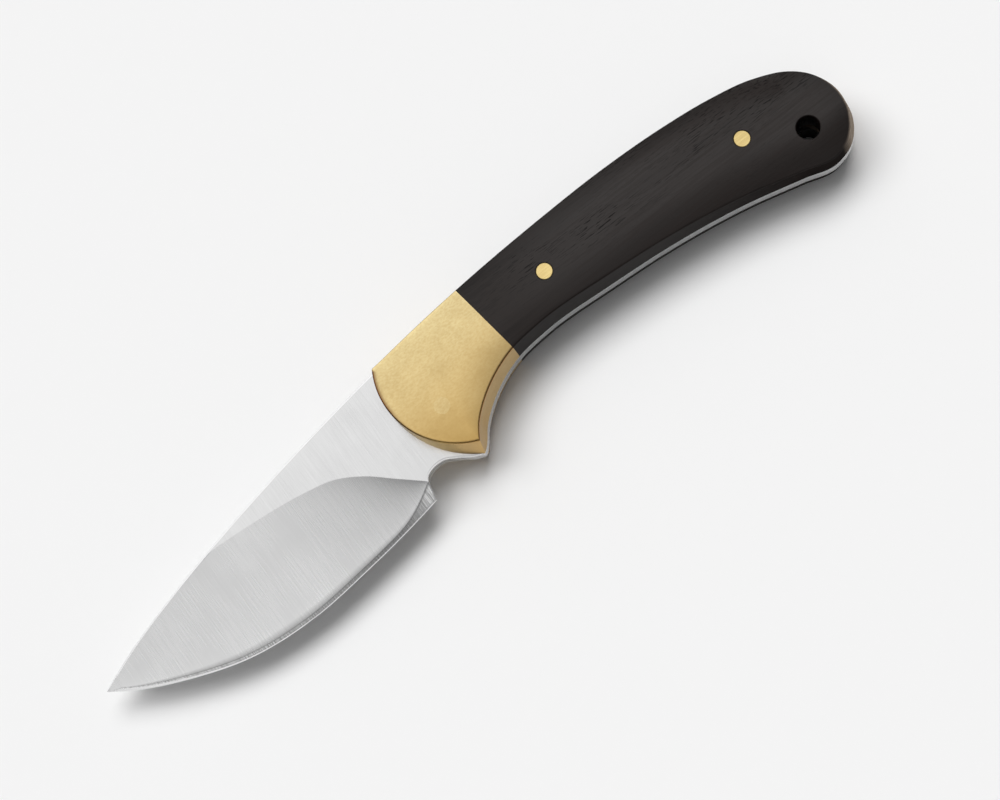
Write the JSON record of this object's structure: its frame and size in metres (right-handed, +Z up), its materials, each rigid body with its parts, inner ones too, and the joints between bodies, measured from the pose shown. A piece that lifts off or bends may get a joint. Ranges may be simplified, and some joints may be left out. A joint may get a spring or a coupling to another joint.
{
  "type": "skinning knife",
  "caption": "Fixed-blade full-tang skinning knife: hollow-ground drop-point steel blade, brass bolsters, dark wood scales, flush brass pins and a lanyard hole.",
  "frame": {"origin": "under the middle of the knife's outline, on the plane of the right-hand handle face that it lies on", "axes": "+X from the blade's point to the butt, +Y from the cutting edge to the spine, +Z up, out of the left-hand handle face"},
  "size_m": [0.1838, 0.0359, 0.0156],
  "materials": {
    "steel": "satin, brushed across the blade",
    "brass": "satin",
    "dark_wood": "oiled, fine dark pores"
  },
  "bodies": {
    "root": {"blade_and_tang": "steel", "left_bolster": "brass", "right_bolster": "brass", "left_scale": "dark_wood", "right_scale": "dark_wood", "front_bolster_pin": "brass", "rear_bolster_pin": "brass", "front_scale_pin": "brass", "rear_scale_pin": "brass"}
  },
  "joints": []
}
